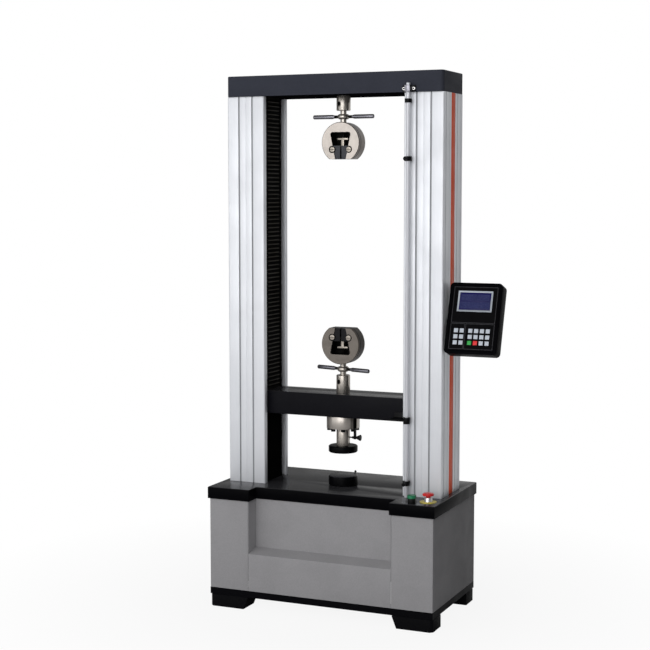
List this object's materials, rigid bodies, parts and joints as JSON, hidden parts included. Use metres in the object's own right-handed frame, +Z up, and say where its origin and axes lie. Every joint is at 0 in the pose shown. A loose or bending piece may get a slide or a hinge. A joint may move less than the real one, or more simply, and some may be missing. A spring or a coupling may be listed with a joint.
{
  "type": "universal testing machine",
  "caption": "Floor-standing two-column universal testing machine with a moving crosshead, wedge grips, load cell, compression platens, limit rod and tilting control box.",
  "frame": {"origin": "on the floor under the load axis, at the middle of the anchor holes", "axes": "+X to the right seen from the front, +Y to the back, +Z up along the load axis"},
  "size_m": [1.034, 0.464, 1.898],
  "materials": {
    "foot_iron": "matt black paint on cast iron",
    "frame_paint": "matt black paint",
    "cabinet_paint": "fine metallic grey paint with a slight speckle",
    "table_paint": "dark grey semi-gloss paint with black edges",
    "beam_paint": "blue-black satin paint",
    "crosshead_paint": "black satin paint",
    "column_aluminium": "silver anodised extrusion",
    "trim_orange": "orange-red strip",
    "bellows_rubber": "black pleated sheet",
    "belt_rubber": "black toothed belt",
    "motor_black": "black painted housing",
    "bright_steel": "ground bright steel",
    "bush_bronze": "plain bearing bronze",
    "grip_nickel": "satin nickel plate",
    "dark_steel": "dark oiled steel",
    "cell_steel": "satin steel with a brushed band",
    "black_oxide": "black oxide",
    "switch_plastic": "black moulded plastic",
    "button_green": "green moulded plastic",
    "button_red": "red moulded plastic",
    "button_yellow": "yellow ring with a pale neck",
    "case_plastic": "black moulded plastic",
    "panel_film": "black membrane front with pale keys",
    "screen_blue": "blue liquid crystal screen"
  },
  "bodies": {
    "frame": {"feet": "foot_iron", "base_frame": "frame_paint", "left_side_cover": "cabinet_paint", "right_side_cover": "cabinet_paint", "front_cover": "cabinet_paint", "rear_cover": "cabinet_paint", "table_plate": "table_paint", "servo_motor": "motor_black", "timing_belt": "belt_rubber", "screw_bearings": "bright_steel", "guide_rods": "bright_steel", "left_column_cover": "column_aluminium", "right_column_cover": "column_aluminium", "trim_strips": "trim_orange", "upper_bellows": "bellows_rubber", "lower_bellows": "bellows_rubber", "top_beam": "beam_paint", "lower_platen": "black_oxide", "upper_socket": "grip_nickel", "upper_coupling_pin": "dark_steel", "upper_grip_body": "grip_nickel", "rod_bracket": "bright_steel", "limit_switch": "switch_plastic", "start_button_body": "switch_plastic", "estop_body": "button_yellow", "control_bracket": "frame_paint"},
    "crosshead": {"crosshead": "crosshead_paint", "ball_nuts": "bright_steel", "guide_bushes": "bush_bronze", "trip_fork": "crosshead_paint", "load_cell": "cell_steel", "load_cell_bolts": "black_oxide", "compression_stem": "cell_steel", "upper_platen": "black_oxide", "lower_socket": "grip_nickel", "lower_coupling_pin": "dark_steel", "lower_grip_body": "grip_nickel"},
    "left_screw": {"left_ball_screw": "bright_steel", "left_screw_pulley": "bright_steel"},
    "right_screw": {"right_ball_screw": "bright_steel", "right_screw_pulley": "bright_steel"},
    "motor_rotor": {"motor_pulley": "bright_steel"},
    "stem_lock": {"stem_lock_knob": "switch_plastic"},
    "upper_handle": {"upper_grip_handle": "dark_steel"},
    "upper_carrier": {"upper_jaw_carrier": "bright_steel"},
    "upper_jaw_left": {"upper_left_jaw": "dark_steel"},
    "upper_jaw_right": {"upper_right_jaw": "dark_steel"},
    "lower_handle": {"lower_grip_handle": "dark_steel"},
    "lower_carrier": {"lower_jaw_carrier": "bright_steel"},
    "lower_jaw_left": {"lower_left_jaw": "dark_steel"},
    "lower_jaw_right": {"lower_right_jaw": "dark_steel"},
    "trip_rod": {"limit_rod": "bright_steel"},
    "upper_stop": {"upper_stop_collar": "black_oxide"},
    "lower_stop": {"lower_stop_collar": "black_oxide"},
    "start_cap": {"start_button_cap": "button_green"},
    "estop": {"estop_head": "button_red"},
    "swivel_arm": {"control_arm": "frame_paint"},
    "control_box": {"control_case": "case_plastic", "control_panel": "panel_film", "display_screen": "screen_blue"}
  },
  "joints": [
    {"name": "crosshead_slide", "type": "slide", "parent": "frame", "child": "crosshead", "axis": [0, 0, 1], "range_m": [-0.078, 0.58], "deforming": ["upper_bellows", "lower_bellows"]},
    {"name": "left_screw_turn", "type": "hinge", "parent": "frame", "child": "left_screw", "pos_m": [-0.376, 0, 0.436], "axis": [0, 0, 1], "continuous": true},
    {"name": "right_screw_turn", "type": "hinge", "parent": "frame", "child": "right_screw", "pos_m": [0.376, 0, 0.436], "axis": [0, 0, 1], "continuous": true},
    {"name": "motor_turn", "type": "hinge", "parent": "frame", "child": "motor_rotor", "pos_m": [0, 0.1, 0.3], "axis": [0, 0, 1], "continuous": true},
    {"name": "stem_lock_turn", "type": "hinge", "parent": "crosshead", "child": "stem_lock", "pos_m": [0.046, 0, 0.61], "axis": [1, 0, 0], "range_deg": [0, 360]},
    {"name": "upper_handle_turn", "type": "hinge", "parent": "frame", "child": "upper_handle", "pos_m": [0, 0, 1.753], "axis": [0, 0, 1], "range_deg": [0, 2400]},
    {"name": "upper_carrier_slide", "type": "slide", "parent": "frame", "child": "upper_carrier", "axis": [0, 0, 1], "range_m": [0, 0.0201]},
    {"name": "upper_left_jaw_slide", "type": "slide", "parent": "upper_carrier", "child": "upper_jaw_left", "axis": [-1, 0, 0], "range_m": [0, 0.00413]},
    {"name": "upper_right_jaw_slide", "type": "slide", "parent": "upper_carrier", "child": "upper_jaw_right", "axis": [1, 0, 0], "range_m": [0, 0.00413]},
    {"name": "lower_handle_turn", "type": "hinge", "parent": "crosshead", "child": "lower_handle", "pos_m": [0, 0, 0.856], "axis": [0, 0, 1], "range_deg": [0, 2400]},
    {"name": "lower_carrier_slide", "type": "slide", "parent": "crosshead", "child": "lower_carrier", "axis": [0, 0, -1], "range_m": [0, 0.0201]},
    {"name": "lower_left_jaw_slide", "type": "slide", "parent": "lower_carrier", "child": "lower_jaw_left", "axis": [-1, 0, 0], "range_m": [0, 0.00413]},
    {"name": "lower_right_jaw_slide", "type": "slide", "parent": "lower_carrier", "child": "lower_jaw_right", "axis": [1, 0, 0], "range_m": [0, 0.00413]},
    {"name": "limit_rod_slide", "type": "slide", "parent": "frame", "child": "trip_rod", "axis": [0, 0, 1], "range_m": [-0.005, 0.005], "stiffness_N_per_m": 8000, "springref_m": 0.0024},
    {"name": "upper_stop_slide", "type": "slide", "parent": "trip_rod", "child": "upper_stop", "axis": [0, 0, 1], "range_m": [-0.25, 0.15]},
    {"name": "lower_stop_slide", "type": "slide", "parent": "trip_rod", "child": "lower_stop", "axis": [0, 0, 1], "range_m": [-0.035, 0.1]},
    {"name": "start_push", "type": "slide", "parent": "frame", "child": "start_cap", "axis": [0, 0, -1], "range_m": [0, 0.004], "stiffness_N_per_m": 800, "springref_m": -0.001},
    {"name": "estop_push", "type": "slide", "parent": "frame", "child": "estop", "axis": [0, 0, -1], "range_m": [0, 0.006], "stiffness_N_per_m": 1500, "springref_m": -0.002},
    {"name": "control_swivel", "type": "hinge", "parent": "frame", "child": "swivel_arm", "pos_m": [0.452, 0.009, 1.04], "axis": [0, 0, 1], "range_deg": [0, 70]},
    {"name": "control_tilt", "type": "hinge", "parent": "swivel_arm", "child": "control_box", "pos_m": [0.511, -0.01, 1.04], "axis": [1, 0, 0], "range_deg": [-20, 15]}
  ],
  "couplings": [
    {"joint": "left_screw_turn", "follows": "crosshead_slide", "rad_per_m": 628.32},
    {"joint": "right_screw_turn", "follows": "crosshead_slide", "rad_per_m": 628.32},
    {"joint": "motor_turn", "follows": "crosshead_slide", "rad_per_m": 837.76},
    {"joint": "upper_carrier_slide", "follows": "upper_handle_turn", "m_per_rad": 0.00047746},
    {"joint": "upper_left_jaw_slide", "follows": "upper_handle_turn", "m_per_rad": 0.000098008},
    {"joint": "upper_right_jaw_slide", "follows": "upper_handle_turn", "m_per_rad": 0.000098008},
    {"joint": "lower_carrier_slide", "follows": "lower_handle_turn", "m_per_rad": 0.00047746},
    {"joint": "lower_left_jaw_slide", "follows": "lower_handle_turn", "m_per_rad": 0.000098008},
    {"joint": "lower_right_jaw_slide", "follows": "lower_handle_turn", "m_per_rad": 0.000098008}
  ]
}
